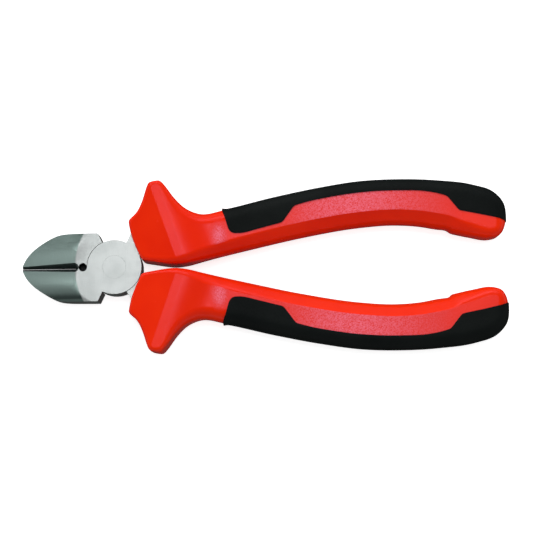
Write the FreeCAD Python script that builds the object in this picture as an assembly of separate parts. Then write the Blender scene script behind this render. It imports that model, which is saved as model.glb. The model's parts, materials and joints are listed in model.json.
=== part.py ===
import FreeCAD, Part
import math
import os
from FreeCAD import Vector

# Diagonal cutting pliers with two-component grips, jaws closed, lying flat.
# Modelled about the joint: X runs from the jaw tips (-X) to the handle ends (+X),
# Y across the tool and Z up through the rivet. The top lever has its joint disc on top,
# its jaw on the -Y side and its handle on the +Y side. The bottom lever is the same
# forging turned over about X. All sizes are in millimetres and degrees.

# Head
jaw_reach = 30.7            # rivet centre to the jaw tips
head_width = 22.4           # across both closed jaws
joint_thickness = 10.0      # both discs of the lap joint together
disc_radius = 8.9
shoulder_angle = 116.0      # rear shoulder of the jaw, from the handle direction
neck_angle = 63.5           # front edge of the neck, from the handle direction
face_slope = 0.155          # fall of the jaw faces towards the tip
face_start = 3.5            # where the jaw faces start to fall, in front of the disc
face_flat = 10.0            # width of the middle of the head that isn't rolled off
face_roll = 25.0            # radius of the roll-off towards the outer rims
face_margin = 4.0           # how far the faces are drawn past the outer rims
nose_from_tip = 2.3         # two places on the jaw's outer rim, from the tip and the tool axis
nose_half_width = 4.3
cheek_from_tip = 9.2
cheek_half_width = 9.45
tip_sweep = 0.3             # how far the rim leans back where it leaves the tip, per unit across
bevel_angle = 17.0          # each cutting flank, from the vertical
bevel_run_out = 1.65        # from the cutting flanks' end to the relief notch
relief_radius = 1.25        # relief notch between the jaws, behind the cutting edges
relief_depth = 4.0          # from each face, leaving a web between the two notches

# Rivet
rivet_radius = 3.0
rivet_head_lip = 0.8        # the countersunk heads, beyond the shank
rivet_head_depth = 1.2

# Running clearances of the joint
lap_gap = 0.08              # between the two discs
disc_gap = 0.16             # around each disc
rivet_gap = 0.03            # radial, where the top lever turns on the rivet
edge_gap = 0.06             # between the closed cutting edges

# Tang, the steel inside each handle
tang_thickness = 6.4
neck_length = 9.0           # stretch over which the tang thins, behind the disc
neck_cover = 4.7            # disc to the neck's front corner, inside the grip
cover_outer = 5.0           # grip material outside the tang's outer edge
cover_inner = 4.0           # grip material inside the tang's inner edge
cover_end = 17.0            # grip material behind the tang's end
tang_end_width = 6.0

# Grip, in plan
handle_reach = 129.2        # rivet centre to the handle ends
collar_front = 4.6          # the grip's front outer corner
collar_half_span = 15.2
collar_bend = 5.65          # the front face turns a little here
collar_bend_half_span = 10.4
collar_disc_gap = 0.3       # the grip's front inner corner, clear of the disc
collar_inner = 2.3
guard_front = 11.4          # front and back of the finger guard's crest
guard_back = 15.1
guard_half_span = 28.3      # tool axis to the top of the guard
guard_crest_fall = 0.5      # how much lower the crest's front end is
guard_hollow = 1.1          # hollow of the guard's front flank
waist_x = 27.8              # narrow place behind the guard
waist_half_span = 17.4
flank_x = 56.0              # rising stretch of the handle
flank_half_span = 23.6
belly_x = 93.0              # widest place of the handles
belly_half_span = 28.3
shoulder_from_end = 9.0     # where the outer side turns into the handle's end
shoulder_half_span = 25.3
heel_x = 19.6               # where the two grips come closest
heel_inner = 0.7            # inner side of the handle, from the tool axis
flank_inner = 8.0
belly_inner = 13.0
tail_from_end = 6.5
tail_inner = 8.4
nose_half_span = 16.2       # the handle's end, from the tool axis

# Grip, in thickness
grip_wall = 3.0             # grip material over each face of the tang
collar_wall = 1.4           # grip material over each face of the neck
guard_rise = 3.2            # guard crest above each joint face
guard_lean = 0.35           # lean of the guard's crest line across the tool
crest_start = 21.2          # flat crest of the guard, on which the tool rests
crest_width = 2.8
crest_run = 12.5            # length of the slope from the crest down to the waist
edge_radius = 2.8           # rounding along the handle's edges

# Soft overlay moulded into the outer side of each grip
pad_depth = 1.6
pad_front = 36.0            # front edge of the front pad, at the handle's outer side
pad_front_lean = 1.6        # how far its lower corner lies behind that
pad_inner_front = 10.4      # lower edge of the front pad, from the tool axis
pad_length = 18.0
pad_inner_rise = 3.0
strip_run = 6.0             # where the front pad narrows to the strip
strip_width = 4.5           # the strip that joins the front pad to the tail pad
pad_strip_lift = 1.0        # the strip's front end, above its own line
tail_pad_from_end = 20.5    # front of the tail pad
tail_pad_run = 6.0
tail_pad_inner = 16.6       # lower edge of the tail pad, from the tool axis
tail_pad_fall = 3.4

half_joint = joint_thickness / 2
half_tang = tang_thickness / 2
half_grip = half_tang + grip_wall
half_guard = half_joint + guard_rise
half_head = head_width / 2
recess_radius = disc_radius + disc_gap
fall_x = -disc_radius - face_start
relief_x = -recess_radius - relief_radius
bevel_x = relief_x - relief_radius - bevel_run_out
rivet_head_radius = rivet_radius + rivet_head_lip
neck_reach = disc_radius + neck_cover
collar_inner_x = math.sqrt((disc_radius + collar_disc_gap) ** 2 - collar_inner ** 2)


def at(x, y, z=0.0):
    return Vector(x, y, z)


def polar(radius, degrees):
    angle = math.radians(degrees)
    return at(radius * math.cos(angle), radius * math.sin(angle))


def line(start, end):
    return Part.LineSegment(start, end).toShape()


def curve(points, start_along, end_along):
    """A smooth curve through the points, with its direction at each end."""
    spline = Part.BSplineCurve()
    spline.interpolate(points, InitialTangent=start_along, FinalTangent=end_along)
    return spline.toShape()


def prism(edges, start_z, height):
    face = Part.Face(Part.Wire(edges))
    face.translate(at(0, 0, start_z))
    return face.extrude(at(0, 0, height))


def polygon(points):
    return [line(a, b) for a, b in zip(points, points[1:] + points[:1])]


def turned_over(shape):
    """The same piece turned over about the tool axis."""
    copy = shape.copy()
    copy.rotate(at(0, 0), at(1, 0), 180)
    return copy


def jaw_outline():
    """Plan of the top lever's jaw, from the cutting edge round to the rear shoulder."""
    edge = -edge_gap / 2
    tip = at(-jaw_reach, edge)
    corner = polar(half_head / math.sin(math.radians(shoulder_angle)), -shoulder_angle)
    nose = at(nose_from_tip - jaw_reach, -nose_half_width)
    cheek = at(cheek_from_tip - jaw_reach, -cheek_half_width)
    inside = polar(disc_radius / 2, -shoulder_angle)
    back = at(-disc_radius / 2, edge)
    rim = curve([tip, nose, cheek, corner], at(tip_sweep, -1), at(1, 0))
    return [rim, line(corner, inside), line(inside, back), line(back, tip)]


def face_envelope():
    """Everything under the sloping, rolled-off top face of the jaws."""
    flat = face_flat / 2
    span = half_head + face_margin
    drop = face_roll - math.sqrt(face_roll ** 2 - (span - flat) ** 2)
    halfway = face_roll - math.sqrt(face_roll ** 2 - (span - flat) ** 2 / 4)
    x = fall_x
    roll = []
    for side in (-1, 1):
        outer = at(x, side * span, half_joint - drop)
        middle = at(x, side * (span + flat) / 2, half_joint - halfway)
        inner = at(x, side * flat, half_joint)
        roll.append(Part.Arc(outer, middle, inner).toShape())
    low_left = at(x, -span, -joint_thickness)
    low_right = at(x, span, -joint_thickness)
    edges = [
        roll[0],
        line(at(x, -flat, half_joint), at(x, flat, half_joint)),
        roll[1],
        line(at(x, span, half_joint - drop), low_right),
        line(low_right, low_left),
        line(low_left, at(x, -span, half_joint - drop)),
    ]
    along = at(1, 0, face_slope)
    face = Part.Face(Part.Wire(Part.sortEdges(edges)[0]))
    face.translate(along * -fall_x)
    return face.extrude(along * -2 * jaw_reach)


def flank_cutter():
    """The wedge and its rounded run-out that leave the two cutting flanks of one jaw."""
    height = joint_thickness
    spread = height * math.tan(math.radians(bevel_angle))
    edge = -edge_gap / 2
    start = -jaw_reach - 1
    section = [
        at(start, edge, 0),
        at(start, edge - spread, height),
        at(start, height, height),
        at(start, height, -height),
        at(start, edge - spread, -height),
    ]
    wedge = Part.Face(Part.Wire(polygon(section))).extrude(at(bevel_x - start, 0, 0))
    end = at(bevel_x, edge)
    cones = [Part.makeCone(0, spread, height, end, at(0, 0, side)) for side in (1, -1)]
    return wedge.fuse(cones)


def jaw():
    blank = prism(jaw_outline(), -half_joint, joint_thickness)
    top = face_envelope()
    blank = blank.common(top).common(turned_over(top))
    relief = Part.makeCylinder(relief_radius, relief_depth, at(relief_x, 0, half_joint - relief_depth))
    return blank.cut(flank_cutter()).cut([relief, turned_over(relief)])


def outer_side(inset):
    """Points along the handle's outer side, behind the guard, moved in by the inset."""
    return [
        at(waist_x, waist_half_span - inset),
        at(flank_x, flank_half_span - inset),
        at(belly_x, belly_half_span - inset),
    ]


def inner_side(inset):
    """Points along the handle's inner side, moved in by the inset."""
    return [
        at(heel_x, heel_inner + inset),
        at(flank_x, flank_inner + inset),
        at(belly_x, belly_inner + inset),
    ]


def tang():
    """Neck and tang: full joint thickness at the disc, thinner inside the handle."""
    end_x = handle_reach - cover_end
    end_mid = (shoulder_half_span + belly_inner) / 2
    neck = polar(neck_reach, neck_angle)
    outer_end = at(end_x, end_mid + tang_end_width / 2)
    inner_end = at(end_x, end_mid - tang_end_width / 2)
    root = at(disc_radius / 2, collar_inner)
    inner_start = at(collar_inner_x, collar_inner + collar_wall)
    outer = curve([neck] + outer_side(cover_outer) + [outer_end], at(1, 0), at(1, -0.1))
    inner = curve([inner_start] + inner_side(cover_inner) + [inner_end], at(1, 0.05), at(1, -0.1))
    edges = [
        line(root, polar(disc_radius / 2, neck_angle)),
        line(polar(disc_radius / 2, neck_angle), neck),
        outer,
        line(outer_end, inner_end),
        inner,
        line(inner_start, root),
    ]
    plan = prism(Part.sortEdges(edges)[0], -half_joint, joint_thickness)
    thin_from = disc_radius + neck_length
    profile = [
        at(0, 0, half_joint),
        at(disc_radius, 0, half_joint),
        at(thin_from, 0, half_tang),
        at(handle_reach, 0, half_tang),
        at(handle_reach, 0, -half_tang),
        at(thin_from, 0, -half_tang),
        at(disc_radius, 0, -half_joint),
        at(0, 0, -half_joint),
    ]
    side = Part.Face(Part.Wire(polygon(profile))).extrude(at(0, 2 * belly_half_span, 0))
    return plan.common(side)


def lever():
    """The forged top lever: disc, jaw and tang in one piece."""
    disc = Part.makeCylinder(disc_radius, half_joint - lap_gap / 2, at(0, 0, lap_gap / 2))
    body = disc.fuse([jaw(), tang()])
    other_disc = Part.makeCylinder(recess_radius, joint_thickness,
                                   at(0, 0, lap_gap / 2 - joint_thickness))
    return body.cut(other_disc).removeSplitter()


def rivet_body(gap):
    """Shank with a countersunk head at each joint face, grown by the gap all round."""
    shank = Part.makeCylinder(rivet_radius + gap, joint_thickness, at(0, 0, -half_joint))
    heads = []
    for side in (1, -1):
        start = at(0, 0, side * (half_joint - rivet_head_depth))
        heads.append(Part.makeCone(rivet_radius + gap, rivet_head_radius + gap, rivet_head_depth,
                                   start, at(0, 0, side)))
    return shank.fuse(heads).removeSplitter()


def grip_outline():
    """Plan of one grip: collar, finger guard, handle and rounded end."""
    corner = at(collar_front, collar_half_span)
    bend = at(collar_bend, collar_bend_half_span)
    inner_corner = at(collar_inner_x, collar_inner)
    crest_front = at(guard_front, guard_half_span - guard_crest_fall)
    crest_back = at(guard_back, guard_half_span)
    hollow = (corner + crest_front) * 0.5 + at(guard_hollow, -guard_hollow / 2)
    tail = at(handle_reach - tail_from_end, tail_inner)
    nose = at(handle_reach, nose_half_span)
    shoulder = at(handle_reach - shoulder_from_end, shoulder_half_span)
    back_flank = curve([crest_back, outer_side(0)[0]], at(0.4, -1), at(1, -0.05))
    outer = curve(outer_side(0) + [shoulder], at(1, 0.0), at(1, -0.35))
    inner = curve(inner_side(0) + [tail], at(1, 0.05), at(1, -0.05))
    return [
        line(inner_corner, bend),
        line(bend, corner),
        Part.Arc(corner, hollow, crest_front).toShape(),
        line(crest_front, crest_back),
        back_flank,
        outer,
        curve([shoulder, nose], at(1, -0.35), at(0, -1)),
        curve([nose, tail], at(0, -1), at(-1, 0.05)),
        inner,
        line(inner_side(0)[0], inner_corner),
    ]


def thickness_profile():
    """Side view of the grip: it rises to the guard's crest and falls to the handle."""
    start = collar_front
    crest_end = crest_start + crest_width
    waist = crest_end + crest_run
    end = handle_reach + guard_lean * guard_half_span + edge_radius
    half_collar = half_joint + collar_wall
    upper = [
        line(at(start, 0, half_collar), at(crest_start, 0, half_guard)),
        line(at(crest_start, 0, half_guard), at(crest_end, 0, half_guard)),
        curve([at(crest_end, 0, half_guard), at(waist, 0, half_grip)], at(1, 0, 0), at(1, 0, 0)),
        line(at(waist, 0, half_grip), at(end, 0, half_grip)),
    ]
    lower = [edge.mirror(at(0, 0), at(0, 0, 1)) for edge in upper]
    ends = [
        line(at(start, 0, -half_collar), at(start, 0, half_collar)),
        line(at(end, 0, half_grip), at(end, 0, -half_grip)),
    ]
    return Part.sortEdges(upper + lower + ends)[0]


def grip_body():
    """Outer shape of sleeve and overlay together, with the handle's edges rounded."""
    plan = prism(grip_outline(), -2 * half_guard, 4 * half_guard)
    face = Part.Face(Part.Wire(thickness_profile()))
    reach = 2 * guard_half_span
    face.translate(at(guard_lean, -1, 0) * reach)
    side = face.extrude(at(-guard_lean, 1, 0) * (2 * reach))
    body = plan.common(side)
    behind_guard = crest_start + crest_width + crest_run
    rims = []
    for edge in body.Edges:
        middle = edge.CenterOfMass
        if middle.x > behind_guard and abs(middle.z) > half_grip / 2:
            rims.append(edge)
    return body.makeFillet(min(edge_radius, half_grip / 2), rims)


def pad_outline():
    """Plan of the soft overlay: front pad, strip and tail pad along the outer side."""
    beyond = 2 * belly_half_span
    pad_back = pad_front + pad_front_lean + pad_length
    strip_start = at(pad_back + strip_run, flank_half_span - strip_width + pad_strip_lift)
    strip_belly = at(belly_x, belly_half_span - strip_width)
    tail_x = handle_reach - tail_pad_from_end
    strip_end = at(tail_x, (belly_half_span + shoulder_half_span) / 2 - strip_width)
    tail_start = at(tail_x + tail_pad_run, tail_pad_inner)
    tail_end = at(handle_reach + edge_radius, tail_pad_inner - tail_pad_fall)
    front_top = at(pad_front - 2 * pad_front_lean, beyond)
    front_low = at(pad_front + pad_front_lean, pad_inner_front)
    back_low = at(pad_back, pad_inner_front + pad_inner_rise)
    far_end = at(tail_end.x, beyond)
    return [
        line(front_top, front_low),
        line(front_low, back_low),
        curve([back_low, strip_start], at(1, 0.2), at(1, 0.25)),
        curve([strip_start, strip_belly, strip_end], at(1, 0.25), at(1, -0.2)),
        curve([strip_end, tail_start], at(1, -0.2), at(1, -0.2)),
        line(tail_start, tail_end),
        line(tail_end, far_end),
        line(far_end, front_top),
    ]


def pad_floor():
    """Everything deeper than the overlay: the grip drawn smaller by the overlay's depth."""
    start = waist_x
    end = handle_reach - pad_depth
    shoulder = at(handle_reach - shoulder_from_end, shoulder_half_span - pad_depth)
    nose = at(end, nose_half_span)
    outer = outer_side(pad_depth)
    edges = [
        curve(outer + [shoulder], at(1, 0), at(1, -0.35)),
        curve([shoulder, nose], at(1, -0.35), at(0, -1)),
        line(nose, at(end, 0)),
        line(at(end, 0), at(start, 0)),
        line(at(start, 0), outer[0]),
    ]
    half = half_grip - pad_depth
    return prism(edges, -half, 2 * half)


def sleeve_and_overlay(steel):
    """The hard sleeve moulded round the tang, and the soft overlay set into it."""
    body = grip_body()
    region = prism(pad_outline(), -2 * half_guard, 4 * half_guard)
    overlay = body.common(region).cut(pad_floor())
    disc_space = Part.makeCylinder(recess_radius, 2 * half_guard, at(0, 0, -half_guard))
    sleeve = body.cut(overlay).cut(steel).cut(disc_space)
    return sleeve, overlay


def mirrored(shape):
    """The same piece for the other handle, mirrored across the tool."""
    return shape.mirror(at(0, 0), at(0, 1, 0))


def main():
    top_lever = lever().cut(rivet_body(rivet_gap))
    bottom_lever = turned_over(lever()).cut(rivet_body(0))
    top_sleeve, top_overlay = sleeve_and_overlay(top_lever)
    parts = {
        "top_lever": top_lever,
        "top_sleeve": top_sleeve,
        "top_overlay": top_overlay,
        "bottom_lever": bottom_lever,
        "bottom_sleeve": mirrored(top_sleeve),
        "bottom_overlay": mirrored(top_overlay),
        "rivet": rivet_body(0),
    }
    to_stand = at((jaw_reach - handle_reach) / 2, 0, half_guard)
    os.makedirs("parts", exist_ok=True)
    for name, shape in parts.items():
        shape.translate(to_stand)
        shape.exportStep("parts/" + name + ".step")


main()
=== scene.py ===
import json
import math
import bmesh
import bpy
from mathutils import Matrix, Vector, kdtree


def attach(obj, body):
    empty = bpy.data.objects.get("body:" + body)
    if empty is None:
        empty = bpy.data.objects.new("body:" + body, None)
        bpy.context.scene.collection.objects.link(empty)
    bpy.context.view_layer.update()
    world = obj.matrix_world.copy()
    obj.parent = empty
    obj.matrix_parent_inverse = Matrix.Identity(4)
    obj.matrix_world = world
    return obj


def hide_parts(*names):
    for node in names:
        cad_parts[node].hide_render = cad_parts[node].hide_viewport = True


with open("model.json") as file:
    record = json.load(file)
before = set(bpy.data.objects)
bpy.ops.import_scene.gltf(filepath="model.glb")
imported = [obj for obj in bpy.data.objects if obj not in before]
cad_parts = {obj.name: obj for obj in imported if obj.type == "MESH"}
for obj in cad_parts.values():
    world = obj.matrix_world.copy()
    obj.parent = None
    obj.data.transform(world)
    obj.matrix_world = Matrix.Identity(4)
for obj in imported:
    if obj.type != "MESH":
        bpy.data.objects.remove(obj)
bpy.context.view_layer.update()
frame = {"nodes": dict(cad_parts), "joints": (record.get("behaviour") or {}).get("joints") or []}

# Steel levers
# Two drop-forged levers of alloy steel, lapped at a round joint: each runs from a jaw through a disc
# to a tang in the handle. The discs' faces are ground and satin-plated, and the jaws keep a darker,
# phosphated finish with ground cutting flanks.
MM = 0.001
pivot = Vector(frame["joints"][0]["pos_m"])


class Shade:
    """A socket of a material's nodes. Arithmetic on it adds the Math nodes that work it out."""

    def __init__(self, socket):
        self.socket = socket

    def node(self, kind, settings, sockets, output=0):
        """Adds a node: its settings are set first, then its sockets' values or links."""
        tree = self.socket.id_data
        made = tree.nodes.new("ShaderNode" + kind)
        for name, setting in settings.items():
            if name == "stops":
                ramp = made.color_ramp.elements
                while len(ramp) < len(setting):
                    ramp.new(1)
                for stop, (position, colour) in zip(ramp, setting):
                    stop.position = position
                    stop.color = colour
            else:
                setattr(made, name, setting)
        for name, given in sockets.items():
            if isinstance(given, Shade):
                tree.links.new(given.socket, made.inputs[name])
            else:
                made.inputs[name].default_value = given
        return Shade(made.outputs[output])

    def maths(self, operation, *terms):
        return self.node("Math", {"operation": operation}, dict(enumerate(terms)))

    def __add__(self, other):
        return self.maths("ADD", self, other)

    def __sub__(self, other):
        return self.maths("SUBTRACT", self, other)

    def __rsub__(self, other):
        return self.maths("SUBTRACT", other, self)

    def __mul__(self, other):
        return self.maths("MULTIPLY", self, other)

    def __pow__(self, other):
        return self.maths("POWER", self, other)

    __radd__ = __add__
    __rmul__ = __mul__

    def ramp(self, low, high):
        """0 below low, 1 above high, and a soft slope between them."""
        settings = {"interpolation_type": "SMOOTHSTEP"}
        return self.node("MapRange", settings, {"Value": self, "From Min": low, "From Max": high})

    def split(self):
        tree = self.socket.id_data
        made = tree.nodes.new("ShaderNodeSeparateXYZ")
        tree.links.new(self.socket, made.inputs[0])
        return [Shade(s) for s in made.outputs]

    def blend(self, low, high):
        """The colour low where this is 0, and high where it is 1."""
        return self.node("Mix", {"data_type": "RGBA"}, {0: self, 6: low, 7: high}, 2)

    def noise(self, scale, detail, stretch=(1, 1, 1)):
        """Noise over this place, with grains of 1 / scale, longer where stretch is smaller."""
        place = self.node("Mapping", {}, {"Vector": self, "Scale": stretch})
        return self.node("TexNoise", {}, {"Vector": place, "Scale": scale, "Detail": detail})

    def feed(self, shader, name):
        self.socket.id_data.links.new(self.socket, shader.inputs[name])

    def bumps(self, shader, depth):
        """Raises the surface where this is high, by depth metres."""
        self.node("Bump", {}, {"Height": self, "Distance": depth}).feed(shader, "Normal")


def finish_called(name, constants):
    """A new material: its shader, the place on the piece in metres from the tool's own origin, and the
    way that the surface faces."""
    material = bpy.data.materials.new(name)
    material.use_nodes = True
    nodes = material.node_tree.nodes
    shader = nodes["Principled BSDF"]
    for socket, value in constants.items():
        shader.inputs[socket].default_value = value
    place = nodes.new("ShaderNodeTexCoord").outputs["Object"]
    facing = nodes.new("ShaderNodeNewGeometry").outputs["Normal"]
    return material, shader, Shade(place), Shade(facing)


relief_x = pivot.x - 10.31 * MM
relief_radius = 1.3 * MM
finish_edge_x = pivot.x - 12.6 * MM
finish_edge_radius = 22.5 * MM
rim_start, rim_end = 3.5 * MM, 10.8 * MM
groove_half_width = 3 * MM


def satin_steel(name):
    """Ground joint faces, and on the jaws a darker finish up to a curved edge in front of the joint.
    Painted shade darkens the jaws towards their rims, a band along the rim of the jaw at -Y, the side
    walls and flanks, and the relief hole.
    """
    material, shader, place, facing = finish_called(name, {})
    x, y, _ = place.split()
    tilt = facing.split()[2]
    flat = tilt.maths("ABSOLUTE", tilt)
    across = y.maths("ABSOLUTE", y)
    from_relief = ((x - relief_x) ** 2 + y ** 2) ** 0.5
    from_finish = ((x - finish_edge_x - finish_edge_radius) ** 2 + y ** 2) ** 0.5
    in_front = (pivot.x - 4 * MM - x).ramp(0, 0.5 * MM)
    jaw = (from_finish - finish_edge_radius).ramp(0, 0.6 * MM) * in_front
    # Painted shade: the jaw colour darkens from the cutting edge out to the rolled outer rims.
    rim = across.ramp(rim_start, rim_end)
    # Painted shade: a dark band along the rim of the jaw at -Y, where its rolled edge turns away.
    painted_shade_band = (0 - y).ramp(8.0 * MM, 9.8 * MM) * (1 - across.ramp(10.1 * MM, 10.6 * MM))
    grain = place.noise(1500, 3, (0.3, 1.5, 1))
    brush = place.noise(2500, 2, (1.5, 0.12, 1))
    cloud = place.noise(160, 4).ramp(0.3, 0.7)
    joint_colour = cloud.blend((0.46, 0.49, 0.485, 1), (0.53, 0.56, 0.555, 1))
    jaw_finish_and_shade = rim.blend((0.34, 0.45, 0.42, 1), (0.14, 0.19, 0.175, 1))
    jaw_finish_and_shade = (painted_shade_band * 0.7).blend(jaw_finish_and_shade, (0.03, 0.045, 0.042, 1))
    # Painted shade: faces that turn away from upright, the side walls and the cutting flanks, are painted
    # dark.
    outside = across.ramp(groove_half_width, groove_half_width + 2 * MM)
    wall_shade = outside.blend((0.23, 0.28, 0.27, 1), (0.23, 0.27, 0.26, 1))
    colour = (1 - flat.ramp(0.45, 0.8)).blend(jaw.blend(joint_colour, jaw_finish_and_shade), wall_shade)
    # Painted shade: the relief hole is painted near black.
    hole_shade = 1 - from_relief.ramp(relief_radius, relief_radius + 0.15 * MM)
    hole_shade.blend(colour, (0.004, 0.005, 0.005, 1)).feed(shader, "Base Color")
    (0.8 + jaw * 0.2).feed(shader, "Metallic")
    (0.34 + grain * 0.1 + brush * 0.08).feed(shader, "Roughness")
    (grain * 0.6 + brush).bumps(shader, 0.02 * MM)
    return material


def outward_edges(bm, angle):
    """The edges that stick out or fall in by more than an angle."""
    return [e for e in bm.edges if len(e.link_faces) == 2 and e.calc_face_angle(0) > math.radians(angle)]


def keep(bm, name, material):
    """The finished piece: an object at the origin, with its place in its mesh."""
    mesh = bpy.data.meshes.new(name)
    bm.to_mesh(mesh)
    bm.free()
    mesh.shade_smooth()
    mesh.materials.append(material)
    piece = bpy.data.objects.new(name, mesh)
    bpy.context.scene.collection.objects.link(piece)
    return piece


def eased_steel(node, steel, ease, spared):
    """A part's own shape with its sharp edges eased, as tumbling leaves them, but not those round the
    rivet, within a radius of the pivot. The slivers that easing leaves at tight corners are merged."""
    merge = 0.002 * MM
    bm = bmesh.new()
    bm.from_mesh(frame["nodes"][node].data)
    bmesh.ops.remove_doubles(bm, verts=bm.verts, dist=merge)
    bmesh.ops.dissolve_degenerate(bm, edges=bm.edges, dist=merge)
    bmesh.ops.recalc_face_normals(bm, faces=bm.faces)
    bmesh.ops.dissolve_limit(bm, angle_limit=math.radians(0.6), verts=bm.verts, edges=bm.edges)
    sharp = outward_edges(bm, 28)
    sharp = [e for e in sharp if min((v.co - pivot).xy.length for v in e.verts) > spared]
    bmesh.ops.bevel(bm, geom=sharp, offset=ease, offset_type="OFFSET", segments=2,
                    profile=0.5, material=-1, affect="EDGES", clamp_overlap=True)
    bmesh.ops.remove_doubles(bm, verts=bm.verts, dist=merge)
    bmesh.ops.dissolve_degenerate(bm, edges=bm.edges, dist=merge)
    for e in outward_edges(bm, 28):
        e.smooth = False
    piece = keep(bm, node + "_steel", steel)
    weighted = piece.modifiers.new("even_shading", "WEIGHTED_NORMAL")
    weighted.keep_sharp = True
    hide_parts(node)
    return piece


lever_steel = satin_steel("tool_steel")
for half in ("bottom_half", "top_half"):
    lever = half.replace("half", "lever")
    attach(eased_steel(lever, lever_steel, 0.15 * MM, 5 * MM), half)


# Rivet
# The joint turns on a steel rivet, headed over in countersinks on both discs and ground flush with
# them, so only a hairline shows round each head.
rivet_finish = satin_steel("rivet_steel")
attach(eased_steel("rivet", rivet_finish, 0.015 * MM, 0), "bottom_half")


# Hard sleeves
# Each handle carries a sleeve of glossy orange-red plastic, injection-moulded round the steel tang.
# Its collar butts against the joint and rises to a finger guard with a flat, leaning crest. Behind the
# waist the handle is flat on its faces, with a broad bevel along the inner side.
half_guard = pivot.z / MM
half_collar = half_guard - 1.8
half_handle = half_guard - 2.0
crest_lean = 0.35
collar_start, crest_start, crest_end, waist_start = 9.5, 21.2, 24.0, 36.5


def flowing(points, step):
    """Short even steps along a smooth line through points, which may carry more than a place."""
    knots = [Vector(p) for p in points]
    gaps = [(b.xy - a.xy).length for a, b in zip(knots, knots[1:])]
    slopes = [(b - a) / gap for a, b, gap in zip(knots, knots[1:], gaps)]
    turns = [slopes[0]]
    for before, after, gap_in, gap_out in zip(slopes, slopes[1:], gaps, gaps[1:]):
        turns.append((before * gap_out + after * gap_in) / (gap_in + gap_out))
    turns.append(slopes[-1])
    line = []
    for i, gap in enumerate(gaps):
        count = max(1, round(gap / step))
        for k in range(count):
            t = k / count
            share = t * t * (3 - 2 * t)
            bend = turns[i] * gap * t * (1 - t) ** 2 - turns[i + 1] * gap * t * t * (1 - t)
            line.append(knots[i] * (1 - share) + knots[i + 1] * share + bend)
    return line


def face_height(x, y):
    """Height of the sleeve's top face over its middle plane."""
    along = x + crest_lean * y
    if along < crest_start:
        rise = (along - collar_start) / (crest_start - collar_start)
        return half_collar + (half_guard - half_collar) * max(rise, 0)
    down = min(max((along - crest_end) / (waist_start - crest_end), 0), 1)
    fall = (0.82 * down * (3 - 2 * down) + 0.18 * (2 - down)) * down
    return half_guard + (half_handle - half_guard) * fall


# The plan in runs that meet at corners. Each place has the width of its rolled edge, and how far that
# edge is a bevel.
collar_face = [(9.0, 2.2, 0.8, 0), (5.65, 10.4, 0.8, 0), (4.6, 15.2, 0.9, 0)]
guard_front = [(4.6, 15.2, 0.9, 0), (7.4, 17.7, 1.1, 0), (9.3, 21.4, 1.2, 0), (10.6, 25.5, 1.2, 0),
               (11.45, 27.65, 1, 0)]
guard_crest = [(11.45, 27.65, 1, 0), (15.2, 28.29, 1, 0)]
outer_side = [(15.2, 28.29, 1, 0), (16.8, 26.5, 1.3, 0), (19.9, 22.4, 2.2, 0), (23.5, 19.1, 3.0, 0),
              (28.2, 17.4, 3.8, 0), (36, 18.7, 4.2, 0), (52, 22.45, 4.2, 0), (68, 25.65, 4.2, 0),
              (80.5, 27.5, 4.2, 0), (93, 28.03, 4.2, 0), (106.5, 27.5, 4.2, 0), (118.5, 25.9, 4.4, 0),
              (125.0, 23.6, 4.4, 0), (128.3, 19.8, 4.2, 0), (128.97, 15.4, 3.8, 0),
              (128.5, 11.8, 3.0, 0), (127.0, 9.2, 2.6, 0), (123.6, 8.1, 3.0, 0),
              (117.5, 8.8, 4.0, 0.25), (110.6, 10.15, 4.5, 0.7)]
handle_step = [(110.6, 10.15, 4.5, 0.7), (109.9, 11.15, 4.5, 0.85)]
inner_side = [(109.9, 11.15, 4.5, 0.85), (106, 11.6, 4.5, 1), (101, 12.5, 4.5, 1), (92, 13.1, 4.5, 1),
              (80.5, 12.35, 4.5, 1), (62, 9.35, 4.5, 0.95), (44.5, 5.6, 4.3, 0.7), (29, 2.15, 3.6, 0.35),
              (22.5, 0.9, 2.4, 0.1), (19.6, 0.72, 1.9, 0), (16.6, 1.0, 1.5, 0)]
collar_side = [(16.6, 1.0, 1.5, 0), (9.0, 2.2, 0.8, 0)]
plan_runs = [collar_face, guard_front, guard_crest, outer_side, handle_step, inner_side, collar_side]

# Two sections of the edge, from the side wall to the flat face: width in from the wall and drop below
# the face, as shares of the edge's width. The last place of each lies on the face, just past the edge.
rolled = [(1 - math.cos(math.radians(a)), 1 - math.sin(math.radians(a))) for a in range(0, 91, 10)]
rolled.append((1.05, 0))
bevelled = [(0.04, 1.0), (0.11, 0.80), (0.19, 0.64), (0.26, 0.535), (0.36, 0.46), (0.58, 0.31),
            (0.80, 0.155), (0.92, 0.06), (0.965, 0.02), (1.0, 0), (1.06, 0)]


def smoothed(loop, rounds):
    for _ in range(rounds):
        loop = [(a + b * 2 + c) / 4 for a, b, c in zip(loop[-1:] + loop, loop, loop[1:] + loop[:1])]
    return loop


def inward(loop):
    """Which way is in, all round a loop that runs clockwise seen from above."""
    pairs = zip(loop[-1:] + loop, loop[1:] + loop[:1])
    sides = [(after - before).xy.normalized() for before, after in pairs]
    return [Vector((s.y, -s.x)) for s in sides]


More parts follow.
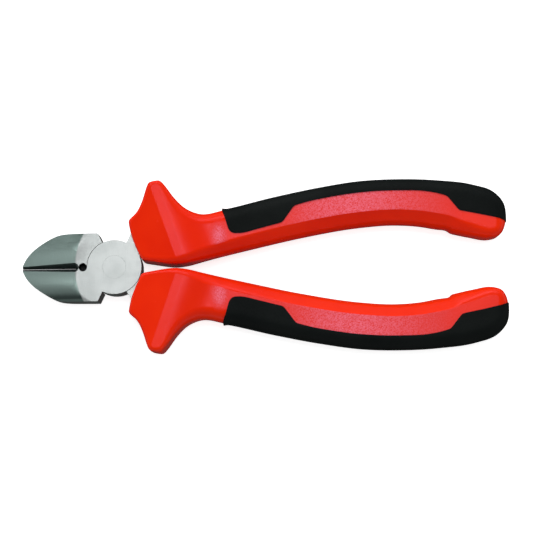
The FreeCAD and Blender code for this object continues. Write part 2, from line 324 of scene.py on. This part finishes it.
def sleeve_rings():
    """The top half's plan, and its rings from the middle plane up the wall and in over the edge."""
    plan_step, steps_in = 0.42, 4
    plan = smoothed([p for run in plan_runs for p in flowing(run, plan_step)], 2)
    rings = [[Vector((p.x, p.y, 0)) for p in plan]]
    places = [p.xy for p in plan]
    reached = [0.0] * len(plan)
    for round_edge, bevel_edge in zip(rolled, bevelled):
        shares = [Vector(round_edge).lerp(Vector(bevel_edge), p[3]) for p in plan]
        targets = [share.x * p[2] for share, p in zip(shares, plan)]
        steps = [(target - so_far) / steps_in for target, so_far in zip(targets, reached)]
        reached = targets
        if max(steps) > 0:
            for _ in range(steps_in):
                places = [at + way * step for at, way, step in zip(places, inward(places), steps)]
                places = smoothed(places, 1)
        heights = [face_height(at.x, at.y) - share.y * p[2] for at, share, p in zip(places, shares, plan)]
        rings.append([Vector((at.x, at.y, height)) for at, height in zip(places, heights)])
    return plan, rings


def laid_grid(rows):
    """A grid of faces, its corners moved to rows of places."""
    bm = bmesh.new()
    across, along = len(rows) - 1, len(rows[0]) - 1
    bmesh.ops.create_grid(bm, x_segments=along, y_segments=across, size=1)
    for v in bm.verts:
        v.co = rows[round((v.co.y + 1) / 2 * across)][round((v.co.x + 1) / 2 * along)]
    return bm


def whole_from_top(bm):
    """Doubles the top half below the middle plane."""
    top = bm.verts[:] + bm.edges[:] + bm.faces[:]
    bmesh.ops.mirror(bm, geom=top, matrix=Matrix(), merge_dist=1e-4, axis="Z")
    bmesh.ops.remove_doubles(bm, verts=bm.verts, dist=1e-3)
    bmesh.ops.recalc_face_normals(bm, faces=bm.faces)


def placed(bm, side):
    """From millimetres at the pivot to its place, on the handle at +Y or its mirror image at -Y."""
    to_metres = Matrix.Diagonal((MM, MM * side, MM, 1))
    bmesh.ops.transform(bm, verts=bm.verts, matrix=Matrix.Translation(pivot) @ to_metres)
    bmesh.ops.recalc_face_normals(bm, faces=bm.faces)


plan, rings = sleeve_rings()


def sleeve_shape(side):
    """The whole sleeve. Its flat face is cut along the lines where the guard's crest and the slope behind
    it turn, and each cut's corners are lifted to the face's height."""
    bm = laid_grid([ring + ring[:1] for ring in rings])
    bmesh.ops.remove_doubles(bm, verts=bm.verts, dist=1e-5)
    top = [e for e in bm.edges if e.is_boundary and min(v.co.z for v in e.verts) > 2]
    faces = bmesh.ops.contextual_create(bm, geom=top)["faces"]
    lean = Vector((1, crest_lean, 0)).normalized()
    slope_cuts = 16
    cuts = [crest_start - 0.35, crest_start, crest_start + 0.35, crest_end - 0.3, crest_end]
    cuts += [crest_end + (waist_start - crest_end) * k / slope_cuts for k in range(1, slope_cuts + 1)]
    for cut in cuts:
        edges = {e for f in faces for e in f.edges}
        corners = {v for f in faces for v in f.verts}
        made = bmesh.ops.bisect_plane(bm, geom=faces + list(edges) + list(corners), dist=1e-5,
                                      plane_co=(cut, 0, 0), plane_no=lean)
        faces = [g for g in made["geom"] if isinstance(g, bmesh.types.BMFace)]
    for v in {v for f in faces for v in f.verts}:
        v.co.z = face_height(v.co.x, v.co.y)
    whole_from_top(bm)
    placed(bm, side)
    return bm


def sleeve_plastic():
    """Glossy plastic with a sparkle. It is duller on the flat faces between the waist and the tail, and
    in a patch at the waist, and there a painted highlight, a pale pink sheen, lies over its colour."""
    material, shader, place, facing = finish_called("sleeve_plastic", {
        "Specular IOR Level": 0.22, "Specular Tint": (1, 0.45, 0.62, 1)})
    x, y, _ = place.split()
    up = facing.split()[2]
    # Faces lying flat, up or down: only these take the painted highlight.
    flat = up.maths("ABSOLUTE", up).ramp(0.93, 0.99)
    span = x - pivot.x
    across = y.maths("ABSOLUTE", y)
    # Painted highlight: a patch at the waist, where the slope behind the guard flattens into the handle.
    from_waist = ((span - 34.5 * MM) ** 2 * 2.5 + (across - 9.8 * MM) ** 2) ** 0.5
    waist = 1 - from_waist.ramp(1 * MM, 6.2 * MM)
    handle = span.ramp(40 * MM, 66 * MM) * (1 - span.ramp(104 * MM, 116 * MM))
    sheen_and_texture = flat * handle + waist * flat
    # Painted highlight: the sheen is strongest along the middle of the handle and at the waist patch.
    sheen_peak = span.ramp(52 * MM, 76 * MM) * (1 - span.ramp(80 * MM, 108 * MM))
    sheen_strength = 0.2 + 0.8 * sheen_peak + waist
    sparkle = place.noise(2600, 3)
    cloud = place.noise(45, 3).ramp(0.35, 0.65)
    plain = cloud.blend((0.90, 0.020, 0.0005, 1), (0.96, 0.027, 0.001, 1))
    # Painted highlight: a pale pink sheen over the plain colour, stippled by the sparkle; the roughness
    # and bumps of the same zone are the plastic's own texture.
    painted_sheen = (sparkle.ramp(0.25, 0.75) * sheen_strength).blend((0.88, 0.044, 0.030, 1), (1, 0.19, 0.27, 1))
    sheen_and_texture.blend(plain, painted_sheen).feed(shader, "Base Color")
    (0.23 + sheen_and_texture * 0.22 + place.noise(300, 3) * 0.06).feed(shader, "Roughness")
    (sparkle * (0.25 + sheen_and_texture)).bumps(shader, 0.06 * MM)
    return material


orange = sleeve_plastic()
for half, side in (("top_half", 1), ("bottom_half", -1)):
    node = half.replace("half", "sleeve")
    sleeve = keep(sleeve_shape(side), node + "_shell", orange)
    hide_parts(node)
    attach(sleeve, half)


# Grip overlays
# A soft black rubber pad, moulded over the outer side of each sleeve from behind the guard to the
# handle's end and round to the back. It is broad at the front, narrows to a strip along the belly and
# widens again over the tail.
front_boundary = [
    [(37.2, 12.9), (37.7, 11.5), (38.7, 10.6), (40.8, 10.4), (47, 11.7), (52, 13.0), (55.2, 13.8)],
    [(55.2, 13.8), (59.2, 19.3)],
    [(59.2, 19.3), (64, 20.6), (70, 21.8), (80.5, 23.3), (93, 23.85), (103, 23.4), (106, 22.85)]]
tail_boundary = [
    [(106, 22.85), (109.4, 21.9)],
    [(109.4, 21.9), (113.3, 17.0)],
    [(113.3, 17.0), (121.8, 15.3), (126.6, 14.2)]]
overlay_start = Vector((35.5, 18.6))
overlay_turn = Vector((106.5, 27.5))
overlay_end = Vector((128.8, 13.2))
overlay_lift = 0.25
front_lip = 0.5


def stepped(line, count):
    """Count places along a line, with even steps between them."""
    lengths = [(b - a).length for a, b in zip(line, line[1:])]
    step = sum(lengths) / (count - 1)
    places = [line[0]]
    gone = 0.0
    for a, b, length in zip(line, line[1:], lengths):
        while gone + length > step * len(places) + 1e-9 and len(places) < count - 1:
            places.append(a.lerp(b, (step * len(places) - gone) / length))
        gone += length
    return places + [line[-1]]


def outline_run(start, end):
    """The plan outline's own places from nearest one place to nearest another."""
    first = min(range(len(plan)), key=lambda i: (plan[i].xy - start).length)
    last = min(range(len(plan)), key=lambda i: (plan[i].xy - end).length)
    return [p.xy for p in plan[first:last + 1]]


nearest = kdtree.KDTree(len(plan))
for index, p in enumerate(plan):
    nearest.insert((p.x, p.y, 0), index)
nearest.balance()


def over_edge(at):
    """Height of the sleeve's surface over a place in plan, on its rolled edge or its face."""
    _, index, _ = nearest.find((at.x, at.y, 0))
    distances = []
    for a, b in ((plan[index - 1], plan[index]), (plan[index], plan[(index + 1) % len(plan)])):
        along = b.xy - a.xy
        share = min(max((at - a.xy).dot(along) / along.length_squared, 0), 1)
        distances.append((at - a.xy - along * share).length)
    width = plan[index][2]
    inside = max(width - min(distances), 0)
    return face_height(at.x, at.y) - width + math.sqrt(max(width * width - inside * inside, 0))


def boundary_line(runs):
    """The runs in one line, with the corners between them eased."""
    line = [p.xy for run in runs for p in flowing(run, 0.3)] + [Vector(runs[-1][-1])]
    for _ in range(6):
        line[1:-1] = [(a + b * 2 + c) / 4 for a, b, c in zip(line, line[1:], line[2:])]
    return line


def overlay_shape(side):
    """The pad's outer skin, in rows from the handle's outer side to the boundary on its face. It stands a
    little proud of the sleeve, and swells to a lip along its front edge."""
    front_places, tail_places, rows_across = 150, 96, 14
    starts = stepped(outline_run(overlay_start, overlay_turn), front_places)
    starts += stepped(outline_run(overlay_turn, overlay_end), tail_places)[1:]
    ends = stepped(boundary_line(front_boundary), front_places)
    ends += stepped(boundary_line(tail_boundary), tail_places)[1:]
    rows = [[Vector((s.x, s.y, 0)) for s in starts]]
    for k in range(rows_across + 1):
        share = 1 - math.cos(math.radians(90 * k / rows_across))
        places = [s.lerp(e, share) for s, e in zip(starts, ends)]
        rows.append([Vector((p.x, p.y, over_edge(p))) for p in places])
    bm = laid_grid(rows)
    whole_from_top(bm)
    for _ in range(2):
        bmesh.ops.smooth_vert(bm, verts=[v for v in bm.verts if not v.is_boundary], factor=0.3,
                              use_axis_x=True, use_axis_y=True, use_axis_z=True)
    bm.normal_update()
    for v in bm.verts:
        behind = v.co.x - overlay_start.x - (overlay_start.y - v.co.y) * 0.3
        lip = max(1 - behind / 2.2, 0) * min(max((v.co.y - 14.5) / 3, 0), 1)
        v.co += v.normal * (overlay_lift + front_lip * lip * lip)
    placed(bm, side)
    return bm


def overlay_rubber():
    """Matt black rubber with a fine pebble grain."""
    material, shader, place, _ = finish_called("overlay_rubber", {"Specular IOR Level": 0.06})
    pebble = place.noise(1400, 3)
    cloud = place.noise(60, 3).ramp(0.3, 0.7)
    cloud.blend((0.0035, 0.005, 0.0048, 1), (0.006, 0.008, 0.0076, 1)).feed(shader, "Base Color")
    (0.5 + pebble * 0.15).feed(shader, "Roughness")
    pebble.bumps(shader, 0.08 * MM)
    return material


rubber = overlay_rubber()
for half, side in (("top_half", 1), ("bottom_half", -1)):
    node = half.replace("half", "overlay")
    overlay = keep(overlay_shape(side), node + "_pad", rubber)
    wall = overlay.modifiers.new("pad_wall", "SOLIDIFY")
    wall.thickness = 0.6 * MM
    wall.offset = -1
    rim = overlay.modifiers.new("pad_rim", "BEVEL")
    rim.width = 0.2 * MM
    rim.segments = 3
    rim.limit_method = "ANGLE"
    rim.angle_limit = math.radians(50)
    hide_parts(node)
    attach(overlay, half)


# Studio
# The pliers lie on a white sheet, under a bright even sky with a darker zenith and two softboxes.
scene = bpy.context.scene
sheet = bmesh.new()
bmesh.ops.create_grid(sheet, x_segments=1, y_segments=1, size=20.0)
paper = bpy.data.materials.new("studio_paper")
paper.use_nodes = True
for socket, value in (("Base Color", (0.85, 0.85, 0.85, 1)), ("Roughness", 0.9),
                      ("Emission Color", (1, 1, 1, 1)), ("Emission Strength", 0.8)):
    paper.node_tree.nodes["Principled BSDF"].inputs[socket].default_value = value
floor = keep(sheet, "studio_floor", paper)
floor.visible_diffuse = False
floor.visible_glossy = False

world = bpy.data.worlds.new("studio_air")
scene.world = world
world.use_nodes = True
air = world.node_tree.nodes
air["Background"].inputs["Strength"].default_value = 1.08
height = Shade(air.new("ShaderNodeTexCoord").outputs["Generated"]).split()[2] * 0.5 + 0.5
greys = [(0.36, 0.06), (0.49, 1), (0.56, 1), (0.62, 0.38), (0.85, 0.38), (0.96, 0.11)]
sky = [(at, (grey, grey, grey, 1)) for at, grey in greys]
height.node("ValToRGB", {"stops": sky}, {"Fac": height}).feed(air["Background"], "Color")


def softbox(name, place, width, length, watts):
    """A rectangular light that faces the middle of the sheet."""
    light = bpy.data.lights.new(name, "AREA")
    light.shape = "RECTANGLE"
    light.size = width
    light.size_y = length
    light.energy = watts
    lamp = bpy.data.objects.new(name, light)
    lamp.location = place
    lamp.rotation_euler = (-Vector(place)).to_track_quat("-Z", "Y").to_euler()
    scene.collection.objects.link(lamp)


softbox("softbox_top", (0.035, 0.12, 0.9), 0.34, 0.20, 1.9)
softbox("softbox_back", (-0.1, 0.85, 0.62), 1.2, 0.45, 6.6)

elevation = math.radians(83.3)
distance = 0.48
roll = math.radians(-0.8)
aim = Vector((0.0006, 0.0, pivot.z))
view = Vector((0, -math.cos(elevation), math.sin(elevation)))
lens = bpy.data.cameras.new("camera")
lens.lens = 98
camera = bpy.data.objects.new("camera", lens)
facing_tool = (-view).to_track_quat("-Z", "Y").to_matrix().to_4x4()
stand = Matrix.Translation(aim + view * distance)
camera.matrix_world = stand @ facing_tool @ Matrix.Rotation(roll, 4, "Z")
scene.collection.objects.link(camera)
scene.camera = camera
scene.view_settings.view_transform = "Standard"
